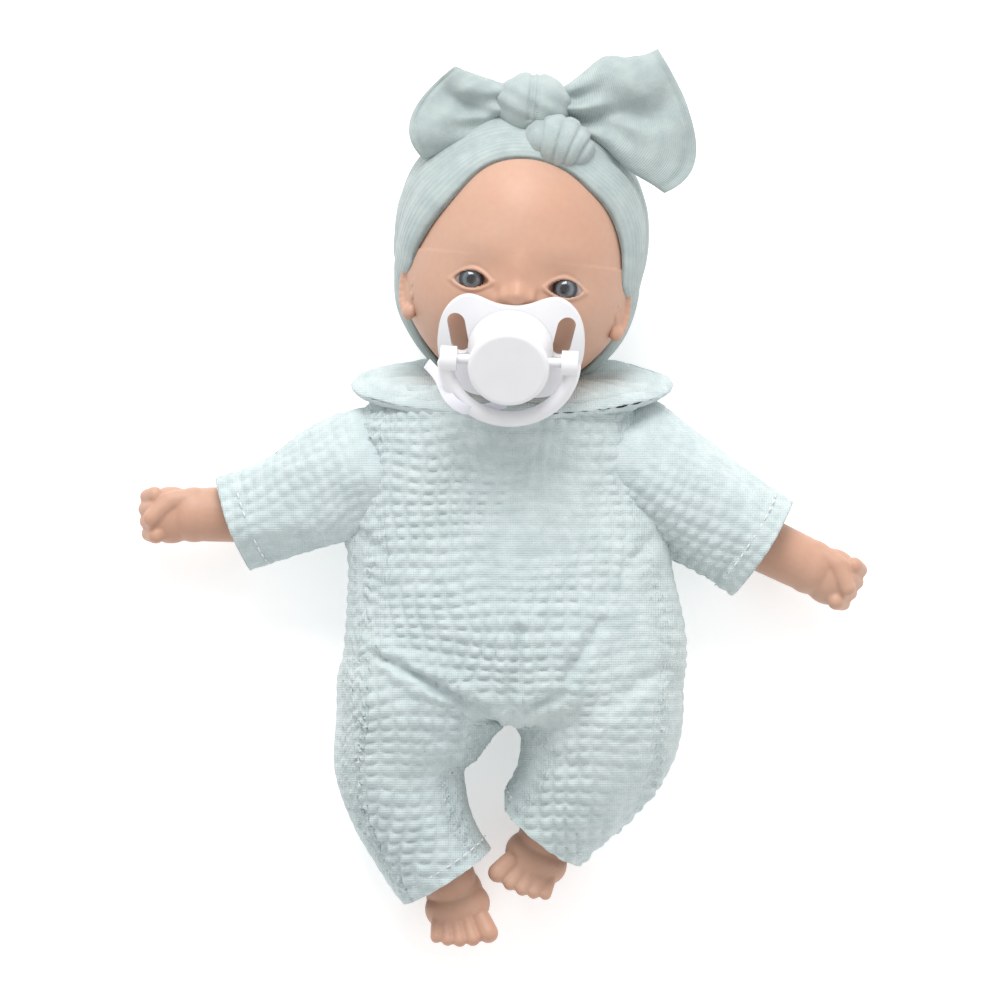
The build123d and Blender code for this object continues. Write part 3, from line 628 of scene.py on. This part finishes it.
# each bow end's corners at the knot and at its open edge (low, high), the middle of that edge,
# where its dimple starts and how far it drifts, and its flat size in metres
BOW_ENDS = {
    "left": {"near": (Vector((-7, 40.5, 13)), Vector((-7, 54.0, 13))),
             "far": (Vector((-33.5, 28.0, 12)), Vector((-27.0, 58.5, 13))),
             "bulge": Vector((-39.0, 41.0, 12)), "dimple": (0.35, 0.55), "flat": (0.062, 0.034), "sign": -1},
    "right": {"near": (Vector((7, 42.0, 13)), Vector((8, 55.0, 13))),
              "far": (Vector((44.0, 25.5, 12)), Vector((37.0, 71.0, 13))),
              "bulge": Vector((52.5, 42.0, 12)), "dimple": (0.25, 0.6), "flat": (0.088, 0.044), "sign": 1},
}


def build_headband(jersey):
    bm = formed_grid(220, 60, band_point)
    band = settle(as_object("headband_cloth", bm), jersey, "head", ["headband_band"])
    build_knot(jersey)
    build_tail("left", jersey)
    build_tail("right", jersey)


def build_knot(jersey):
    """The knot, and the strip that wraps over it from below."""
    place = HEAD @ Matrix.Translation((-0.5, 49.4, 14.0))

    def knot_point(u, v):
        direction = ball_direction(u, v)
        size = Vector((12.0 * direction.x, 10.2 * direction.y, 12.4 * direction.z))
        groove = 1.1 * bell(size.x + 1.2, 0.8) + 0.9 * bell(size.x - 1.0, 0.7)
        swirl = 0.45 * math.sin(size.y * 1.1 + size.x * 0.5)
        return place @ (size * (1.0 - (groove if size.y > -6 else 0.0) / 11.0 + swirl / 22.0))

    bm = formed_grid(96, 64, knot_point)
    knot = settle(as_object("headband_knot_cloth", bm), jersey, "head", ["headband_knot"])

    low = HEAD @ Matrix.Translation((8.8, 37.6, 20.0)) @ Matrix.Rotation(math.radians(-14), 4, "Z")

    def wrap_point(u, v):
        direction = ball_direction(u, v)
        size = Vector((11.7 * direction.x, 9.4 * direction.y, 11.2 * direction.z))
        line = (size.x - 1.0) / (1.0 + 0.045 * (size.y + 8.0))
        folds = bell(line + 1.0, 0.5) + bell(line - 2.4, 0.5) + bell(line - 5.4, 0.5)
        folds += bell(line + 5.5, 0.6)
        return low @ (size * (1.0 - folds * 0.9 / 11.0))

    bm = formed_grid(96, 64, wrap_point)
    wrap = settle(as_object("headband_wrap_cloth", bm), jersey, "head", ["headband_wrap"])


def tail_point(u, v, side):
    """A bow end: u goes round the flattened loop, v from the knot to the open edge."""
    tail = BOW_ENDS[side]
    sign = tail["sign"]
    around = 2 * math.pi * u
    across = 0.5 + 0.5 * math.cos(around)
    depth = math.sin(around)
    near = tail["near"][0].lerp(tail["near"][1], across)
    low, high = tail["far"]
    edge = low.lerp(high, across) + (tail["bulge"] - (low + high) / 2) * (1 - (2 * across - 1) ** 2)
    at = near.lerp(edge, v ** 0.85)
    gather = (1.0 - smoothstep(0.0, 0.75, v)) * smoothstep(0.0, 0.08, v)
    thick = 2.2 + 4.2 * math.sin(math.pi * min(v * 0.9, 1.0)) ** 0.8
    at.z += depth * thick + 3.0 * v
    at.z += 2.2 * gather * math.sin(across * 15.0 + 1.0) + 1.6 * v * math.sin(across * 6.5 + 1.2 + sign)
    if depth > 0.0:
        start, drift = tail["dimple"]
        dimple = across - start - drift * v
        at.z -= 3.4 * bell(dimple, 0.10) * smoothstep(0.02, 0.25, v) * depth
        at.z += 2.2 * bell(dimple - 0.24, 0.14) * depth
    at.z -= 0.9 * bell(v - 0.93, 0.025) * max(depth, 0.0)
    if side == "right":
        at.y += 5.0 * across * bell(v - 0.35, 0.25)
        at.y += 4.0 * (1.0 - across) * bell(v - 0.3, 0.25)
    at += Vector((0.3, 0.5, 0.6)) * noise.noise(Vector((u * 7.0, v * 5.0, 4.0 + sign)))
    return HEAD @ at


def build_tail(side, jersey):
    bm = formed_grid(110, 46, lambda u, v: tail_point(u, v, side))
    piece = walled(as_object(f"headband_{side}_bow_end", bm), 0.9)
    settle(piece, jersey, "head", [f"headband_{side}_tail"])


# ---- romper -----------------------------------------------------------------------------------
def ring_frame(run):
    """Two directions square to a run: across it and up from it."""
    across = run.cross(Vector((0, 0, 1))).normalized()
    up = across.cross(run).normalized()
    return across, up


def tube(stations, columns=64, rows=40):
    """A closed tube of ellipses through stations of (x, y, z, half width, half thickness)."""

    def place(u, v):
        share = (v - 0.02) / 0.96
        x, y, z, wide, thick = blended(stations, share)
        middle = Vector((x, y, z))
        if v <= 0.0 or v >= 1.0:
            return middle
        ahead = blended(stations, min(share + 0.02, 1.0))
        behind = blended(stations, max(share - 0.02, 0.0))
        across, up = ring_frame((Vector(ahead[:3]) - Vector(behind[:3])).normalized())
        angle = 2 * math.pi * u
        return middle + across * math.cos(angle) * wide + up * math.sin(angle) * thick

    return formed_grid(columns, rows, place)


def merged(target, extra):
    """Adds the faces of one bmesh to another."""
    mesh = bpy.data.meshes.new("carry")
    extra.to_mesh(mesh)
    extra.free()
    target.from_mesh(mesh)
    bpy.data.meshes.remove(mesh)


def puffs(u, v, seed):
    """Height of the crinkled gauze from 0, in a stitched furrow, to 1, on a puff."""
    warp_u = 0.9 * noise.noise(Vector((u * 0.05, v * 0.05, seed)))
    warp_v = 0.9 * noise.noise(Vector((u * 0.05, v * 0.05, seed + 9.0)))
    a = u / CELL + warp_u
    b = v / (CELL * 0.86) + warp_v
    near_a = abs(a - round(a)) * 2.0
    near_b = abs(b - round(b)) * 2.0
    height_a = 1.0 - bell(1.0 - near_a, 0.42)
    height_b = 1.0 - bell(1.0 - near_b, 0.42)
    strength = 0.75 + 0.9 * noise.noise(Vector((u * 0.03 + 5.0, v * 0.03, seed + 3.0))) - u * 0.004
    cell = 0.3 * noise.noise(Vector((round(a) * 1.7, round(b) * 2.3, seed)))
    return (height_a * height_b + cell) * min(max(strength, 0.3), 1.25)


# each fold's start and end on the front, its width and its depth
FOLDS = [
    (Vector((-39, -50)), Vector((-1, -69)), 1.7, 2.6), (Vector((6, -42)), Vector((3, -67)), 2.0, 2.0),
    (Vector((32, -40)), Vector((20, -58)), 2.2, 1.5), (Vector((-49, -8)), Vector((-36, -18)), 2.2, 0.9),
    (Vector((-50, 16)), Vector((-49.5, -12)), 1.0, 1.1), (Vector((46, 26)), Vector((50.5, -8)), 1.0, 1.2),
    (Vector((50, -10)), Vector((40, -22)), 2.4, 0.9), (Vector((3, -69)), Vector((20, -62)), 1.8, 1.6),
    (Vector((-46, -50)), Vector((-30, -62)), 2.6, 0.7), (Vector((52, -54)), Vector((34, -66)), 2.6, 0.8),
    (Vector((-14, -78)), Vector((-24, -74)), 2.0, 0.8), (Vector((14, -82)), Vector((26, -86)), 2.2, 0.8),
]


def creases(point):
    """How far the cloth sinks along its folds, less where it swells beside them."""
    sink = 0.0
    flat = Vector((point.x, point.y))
    for start, end, width, depth in FOLDS:
        run = end - start
        t = min(max((flat - start).dot(run) / run.length_squared, 0.0), 1.0)
        away = (flat - start - run * t).length
        fade = 1.0 - 0.3 * abs(2 * t - 1)
        sink += depth * fade * (bell(away, width) - 0.9 * bell(away - 1.6 * width, 2.2 * width))
    if sink > 0.0:
        sink = 1.3 * (1.0 - math.exp(-sink / 1.3))
    return max(sink, -3.0) * smoothstep(8.0, 30.0, point.z)


def crinkle(piece, seed):
    """Moves every vertex of a gauze skin out or in by its puffs and creases."""
    mesh = piece.data
    middle_x, middle_z = BODY_MIDDLE
    normals = [vertex.normal.copy() for vertex in mesh.vertices]
    for vertex, normal in zip(mesh.vertices, normals):
        co = vertex.co
        around = math.atan2(co.z - middle_z, co.x - middle_x)
        side = smoothstep(0.55, 0.95, abs(normal.x))
        u = co.x * (1.0 - side) - around * BODY_WRAP * side
        height = (puffs(u, co.y, seed) - 0.4) * (1.0 - 0.65 * side)
        back = smoothstep(0.5, 4.0, co.z)
        swell = 0.9 * noise.noise(Vector((co.x * 0.045, co.y * 0.045, 6.0))) + 0.3
        vertex.co = co + normal * ((PUFF * 2.0 * height + swell) * back - creases(co))
        vertex.co.z = max(vertex.co.z, 0.05)
    mesh.update()


def keep_side(piece, name, point, normal, keep_inner=True):
    """A copy of the piece that keeps what lies on one side of a plane; its normal points outwards."""
    bm = bmesh.new()
    bm.from_mesh(piece.data)
    bmesh.ops.bisect_plane(bm, geom=bm.verts[:] + bm.edges[:] + bm.faces[:], plane_co=point, plane_no=normal,
                           clear_outer=keep_inner, clear_inner=not keep_inner, dist=0.0001)
    return as_object(name, bm)


def largest_island(piece):
    """Drops every loose scrap of a piece but its largest connected skin."""
    bm = bmesh.new()
    bm.from_mesh(piece.data)
    bm.verts.ensure_lookup_table()
    waiting = set(range(len(bm.verts)))
    islands = []
    while waiting:
        frontier = [waiting.pop()]
        island = set(frontier)
        while frontier:
            vert = bm.verts[frontier.pop()]
            for edge in vert.link_edges:
                near = edge.other_vert(vert).index
                if near in waiting:
                    waiting.discard(near)
                    island.add(near)
                    frontier.append(near)
        islands.append(island)
    keep = max(islands, key=len)
    scraps = [vert for vert in bm.verts if vert.index not in keep]
    bmesh.ops.delete(bm, geom=scraps, context="VERTS")
    bm.to_mesh(piece.data)
    bm.free()
    return piece


def romper_skin():
    """The torso and both legs as one crinkled skin, open at the neck."""
    bm = tube([(x, y, z, wide, thick) for y, wide, thick, x, z in TORSO], 96, 60)
    for stations in LEGS.values():
        end, wide, thick = stations[-1]
        past = end + (end - stations[-2][0]).normalized() * LEG_PAST_HEM
        merged(bm, tube(flat_list(stations + [(past, wide, thick)])))
    voxel = 1.6
    closed = melted("romper_whole", bm, voxel, 10, 1)
    crinkle(closed, 2.0)
    skin = keep_side(closed, "romper_neck_cut", Vector((0, NECK_CUT_Y, 0)), Vector((0, 1, 0)))
    bpy.data.objects.remove(closed)
    return skin


def hip_normal(side):
    """The slanting crease where a leg leaves the torso, as a normal that points down the leg."""
    run = (HIP_RIM[side] - CROTCH).normalized()
    normal = Vector((run.y, -run.x, 0))
    return -normal if normal.y > 0 else normal


def cut_leg(skin, side):
    """One trouser leg: below its hip crease, on its own side of the crotch, above its hem."""
    outwards = Vector((1, 0, 0)) if side == "left" else Vector((-1, 0, 0))
    lower = keep_side(skin, "lower_" + side, CROTCH, hip_normal(side), keep_inner=False)
    parted = keep_side(lower, "parted_" + side, CROTCH, outwards)
    end = LEGS[side][-1][0]
    hem = (end - LEGS[side][-2][0]).normalized()
    leg = largest_island(keep_side(parted, f"romper_{side}_leg", end, hem))
    bpy.data.objects.remove(lower)
    bpy.data.objects.remove(parted)
    return leg


def finish_leg(leg, side, gauze, thread):
    """Walls a trouser leg and stitches its hem."""
    settle(walled(leg, CLOTH), gauze, None, [f"{side}_trouser_leg"])
    start = (CROTCH + HIP_RIM[side]) / 2
    start.z = HIP_Z
    end = start + hip_normal(side) * HIP_STRETCH
    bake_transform(leg)
    build_hem(LEGS[side], thread, f"{side}_leg", 0.5)


def build_romper(gauze, thread):
    skin = romper_skin()
    legs = {side: cut_leg(skin, side) for side in ("left", "right")}
    upper = keep_side(skin, "upper_left", CROTCH, hip_normal("left"))
    torso = keep_side(upper, "romper_body", CROTCH, hip_normal("right"))
    bpy.data.objects.remove(upper)
    bpy.data.objects.remove(skin)
    settle(walled(torso, CLOTH), gauze, "torso", ["romper_torso"])
    for side, leg in legs.items():
        finish_leg(leg, side, gauze, thread)


STITCHES = 30
STITCH_FROM_HEM = 4.6
STITCH_HALF, STITCH_RADIUS = 0.85, 0.26


def build_hem(stations, thread, body, proud):
    """Running stitches round the front of a hem."""
    end, wide, thick = stations[-1]
    run = (end - stations[-2][0]).normalized()
    across, up = ring_frame(run)
    middle = end - run * STITCH_FROM_HEM
    bm = bmesh.new()
    for index in range(STITCHES):
        angle = 2 * math.pi * index / STITCHES
        at = middle + across * math.cos(angle) * (wide + proud) + up * math.sin(angle) * (thick + proud)
        if math.sin(angle) < 0.1:
            continue
        tangent = (-across * math.sin(angle) * wide + up * math.cos(angle) * thick).normalized()
        half = tangent * STITCH_HALF
        add_bar(bm, at - half, at + half, STITCH_RADIUS, STITCH_RADIUS)
    stitches = as_object(f"{body}_stitches", bm)
    settle(stitches, thread, body)


# shares of a sleeve's length of cloth: up to the end of the domed shoulder, and up to the cuff's edge
DOME_END, CUFF_EDGE = 0.16, 0.72


def sleeve_point(u, v, arm):
    """Over the domed shoulder, along the outside to the cuff, then back inside it."""
    start = arm["shoulder"]
    run = (arm["cuff"] - start).normalized()
    across, up = ring_frame(run)
    length = (arm["cuff"] - start).length
    outside = v <= CUFF_EDGE
    dome = math.cos(math.pi / 2 * min(v / DOME_END, 1.0))
    if outside:
        t = max((v - DOME_END) / (CUFF_EDGE - DOME_END), 0.0)
    else:
        t = 1.0 - (v - CUFF_EDGE) / (1.0 - CUFF_EDGE) * 0.55
    angle = 2 * math.pi * u
    radius = arm["top"] + (arm["end"] - arm["top"]) * smoothstep(0.0, 0.75, t)
    radius += 0.6 * math.sin(math.pi * t)
    height = 0.0
    if 0.02 < t < 0.98:
        height = PUFF * 1.3 * (puffs(angle * radius, t * length, 7.0 + arm["side"]) - 0.4)
    folds = 0.9 * math.sin(angle * 3.0 + 2.0 + arm["side"]) * bell(t - 0.32, 0.22)
    folds += 0.6 * math.sin(angle * 5.0 + t * 6.0)
    hem = -0.5 * bell(t * length - (length - 8.6), 1.0)
    grow = height + folds + hem if outside else folds - SLEEVE_WALL
    wide = math.sqrt(max(1.0 - dome * dome, 0.0))
    at = start + run * (t * length - dome * radius * 0.8)
    at += (across * math.cos(angle) + up * math.sin(angle)) * (radius + grow) * wide
    at.z = max(at.z, FLOOR_GAP)
    return at


def build_sleeve(side, gauze, thread):
    arm = ARMS[side]
    start, end = arm["shoulder"], arm["cuff"]
    run = (end - start).normalized()
    bm = formed_grid(150, 120, lambda u, v: sleeve_point(u, v, arm))
    piece = settle(as_object(f"romper_{side}_sleeve", bm), gauze, None, [f"{side}_sleeve"])
    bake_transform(piece)
    stitched = arm["end"] + 0.1
    stations = [(end - run * 10.0, arm["end"], arm["end"]), (end - run * 2.0, stitched, stitched)]
    build_hem(stations, thread, f"{side}_arm", 0.15)


COLLAR_MIDDLE = Vector((3.6, 35.6, 32.0))


def collar_point(u, v):
    """A flat padded collar: u round the neck, v round the roll's own section."""
    around = 2 * math.pi * u
    side, front = math.sin(around), math.cos(around)
    section = 2 * math.pi * v
    inner = Vector((17.0 * side, 0.0, 14.5 * front))
    outer = Vector((50.5 * side, 0.0, 30.0 * front))
    outer.x *= 1.0 + 0.02 * bell(abs(side) - 1.0, 0.3)
    middle = (inner + outer) / 2
    reach = (outer - inner).length / 2
    outward = (outer - inner).normalized()
    ripple = 0.5 * noise.noise(Vector((side * 5.0, front * 5.0, 2.0 + v * 2)))
    puff = 4.2 + 0.35 * math.sin(around * 9.0) + 0.3 * math.sin(around * 23.0) + ripple
    across, thick = math.cos(section), math.sin(section)
    seam = 1.3 * bell(across - 0.62, 0.07)
    soft = math.copysign(abs(across) ** 0.8, across)
    flat = middle + outward * reach * soft
    flat.y += thick * (puff - seam)
    flat.y += 1.0 - 2.4 * max(front, 0.0) * ((soft + 1) / 2) ** 1.2
    # the roll leans: lower in front of the throat than at the nape
    tilt = Matrix.Rotation(math.radians(14.0), 3, "X")
    flat = tilt @ flat
    at = COLLAR_MIDDLE + flat
    crinkles = 1.2 * PUFF * (puffs(around * 36.0, section * 8.0, 4.0) - 0.4)
    at.y += crinkles * (1.0 if thick > 0 else -1.0)
    at.z = max(at.z, FLOOR_GAP)
    return at


def build_collar(gauze):
    bm = formed_grid(260, 56, collar_point)
    piece = settle(as_object("romper_collar_cloth", bm), gauze, "torso", ["romper_collar"])


# ---- hands and feet ------------------------------------------------------------------------------
def build_hand(side, skin):
    """A forearm that ends in a closed fist."""
    arm = ARMS[side]
    elbow, fist = arm["elbow"], arm["fist"]
    run = (fist - elbow).normalized()
    across = Vector((0, 0, 1)).cross(run).normalized() * arm["side"]
    top = run.cross(across).normalized()
    if top.z < 0:
        top = -top
    bm = bmesh.new()
    add_bar(bm, elbow, fist - run * 12.0, 9.3, 8.7)
    turned = run.to_track_quat("X", "Z").to_matrix().to_4x4()
    add_egg(bm, Matrix.Translation(fist - run * 8.5) @ turned, (9.0, 8.9, 8.6), 32)
    add_egg(bm, Matrix.Translation(fist - run * 1.0) @ turned, (9.0, 9.2, 7.4), 32)
    # four fingers curl over the end of the fist, towards the palm
    for index in range(4):
        spread = (index - 1.5) * 4.3
        knuckle = fist + run * (4.2 - 0.5 * abs(index - 1.2)) - across * spread + top * 4.6
        middle = fist + run * (7.4 - 0.6 * abs(index - 1.2)) - across * spread * 0.92 - top * 0.6
        tip = fist + run * 4.8 - across * spread * 0.8 - top * 5.4
        add_bar(bm, knuckle, middle, 2.75, 2.5)
        add_bar(bm, middle, tip, 2.5, 2.2)
    # the thumb lies across the upper knuckles
    base = fist - run * 9.0 + across * 5.2 + top * 2.6
    bend = fist - run * 1.5 + across * 4.4 + top * 5.4
    tip = fist + run * 4.6 - across * 1.0 + top * 6.8
    add_bar(bm, base, bend, 3.6, 3.2)
    add_bar(bm, bend, tip, 3.2, 2.7)
    piece = melted(f"{side}_hand_vinyl", bm, 0.55, 3)
    settle(piece, skin, f"{side}_hand", [f"{side}_forearm"])


FEET = {
    "left": {"knee": Vector((-26.5, -98.0, 21.0)), "ankle": Vector((-16.6, -122.0, 17.0)),
             "sole": Vector((-13.6, -131.4, 17.2)), "turn": 13.0, "inner": 1},
    "right": {"knee": Vector((26.0, -88.0, 21.5)), "ankle": Vector((14.6, -107.0, 17.2)),
              "sole": Vector((10.8, -115.8, 17.2)), "turn": -33.0, "inner": -1},
}


# each toe's radius, its place across from the middle and how far it reaches
TOES = [(3.3, 7.7, -11.6), (2.4, 2.5, -12.4), (2.25, -1.7, -11.8), (2.1, -5.4, -10.6), (1.95, -8.8, -8.8)]


def build_foot(side, skin):
    """A shin that ends in a bare foot with its toes down."""
    foot = FEET[side]
    bm = bmesh.new()
    add_bar(bm, foot["knee"], foot["ankle"], 9.0, 8.8)
    place = Matrix.Translation(foot["sole"]) @ Matrix.Rotation(math.radians(foot["turn"]), 4, "Z")
    place = place @ Matrix.Rotation(math.radians(-30), 4, "X")
    add_egg(bm, place @ Matrix.Translation((0, 1.2, 0)), (10.6, 8.6, 7.0), 32)
    add_egg(bm, place @ Matrix.Translation((0, 6.0, 1.0)), (9.2, 9.0, 8.2), 32)
    add_egg(bm, place @ Matrix.Translation((0, 8.0, -5.0)), (7.6, 8.0, 6.6), 24)
    inner = foot["inner"]
    for size, offset, reach in TOES:
        root = place @ Vector((inner * offset * 0.86, reach + 5.6, 1.6))
        tip = place @ Vector((inner * offset, reach, 1.2))
        add_bar(bm, root, tip, size * 0.92, size)
    piece = melted(f"{side}_foot_vinyl", bm, 0.5, 2)
    settle(piece, skin, f"{side}_shin", [f"{side}_foot"])


# ---- ribbon on the ring ------------------------------------------------------------------------------
# the ribbon's middle line, in the pacifier's own frame
RIBBON_LINE = [(-26.5, -6.0, 3.0), (-22.5, -8.5, 7.5), (-18.6, -12.6, 14.4), (-14.0, -15.8, 15.2),
               (-10.4, -17.6, 11.4), (-5.5, -18.2, 8.2), (-1.0, -16.6, 7.2)]
RIBBON_HALF_WIDTH, RIBBON_HALF_THICKNESS = 1.85, 0.16


def ribbon_point(u, v):
    """u goes round the flat section, v along the ribbon."""
    ahead = Vector(blended(RIBBON_LINE, min(v + 0.02, 1.0)))
    behind = Vector(blended(RIBBON_LINE, max(v - 0.02, 0.0)))
    run = (ahead - behind).normalized()
    across = run.cross(Vector((0, 0, 1))).normalized()
    lift = across.cross(run)
    angle = 2 * math.pi * u
    at = Vector(blended(RIBBON_LINE, v))
    at += across * RIBBON_HALF_WIDTH * math.cos(angle) + lift * RIBBON_HALF_THICKNESS * math.sin(angle)
    return PACIFIER @ at


def build_ribbon(satin):
    """A narrow satin ribbon round the ring, one end towards the collar and one under the button."""
    bm = formed_grid(24, 80, ribbon_point)
    bmesh.ops.holes_fill(bm, edges=bm.edges, sides=30)
    settle(as_object("pacifier_ribbon_satin", bm), satin, "pacifier_handle", ["pacifier_ribbon"])


# ---- the parts that the frame already shapes -----------------------------------------------------------
def finish_frame_nodes(white, silicone):
    cloth = cloth_finish("body_cloth", (0.72, 0.66, 0.58))
    cord = cloth_finish("tie_cord", (0.8, 0.77, 0.7), 0.5)
    case = plastic_finish("case_plastic", (0.72, 0.72, 0.69), 0.5)
    steel = metal_finish("plated_steel", (0.62, 0.62, 0.63), 0.3)
    board = plastic_finish("board_mask", (0.03, 0.16, 0.07), 0.4)
    cell = plastic_finish("cell_sleeve", (0.05, 0.06, 0.08), 0.35, metallic=0.4)
    black = plastic_finish("black_plastic", (0.02, 0.02, 0.022), 0.5)
    red = plastic_finish("button_red", (0.55, 0.06, 0.04), 0.4)
    choices = {
        "white_plastic": white, "silicone": silicone, "body_cloth": cloth, "tie_cord": cord,
        "case_plastic": case, "steel": steel, "board": board, "cell": cell, "speaker_black": black,
        "button_red": red,
    }
    slots = {row["node"]: row["material_slot"] for row in frame["record"]["subparts"]}
    for name, node in frame["nodes"].items():
        material = choices.get(slots[name])
        if material is None:
            continue
        node.data.materials.clear()
        node.data.materials.append(material)


def build_everything():
    make_camera()
    make_world()
    make_floor()
    make_light("key", (-0.1, 1.2, 1.0), (0, 0, 0.03), 0.8, 20.0)
    make_light("fill", (0.9, -0.3, 1.2), (0, 0, 0.03), 1.2, 2.0)
    gauze = gauze_finish()
    jersey = jersey_finish()
    skin = skin_finish()
    white = plastic_finish("white_plastic", (0.76, 0.76, 0.78), 0.36, coat_weight=0.2, coat_roughness=0.2)
    silicone = plastic_finish("silicone", (0.8, 0.76, 0.68), 0.3)
    thread = cloth_finish("white_thread", (0.88, 0.9, 0.92), 0.3)
    satin = satin_finish()
    finish_frame_nodes(white, silicone)
    build_head(skin)
    build_eyes()
    build_headband(jersey)
    build_romper(gauze, thread)
    build_collar(gauze)
    for side in ("left", "right"):
        build_sleeve(side, gauze, thread)
        build_hand(side, skin)
        build_foot(side, skin)
    build_ribbon(satin)


build_everything()
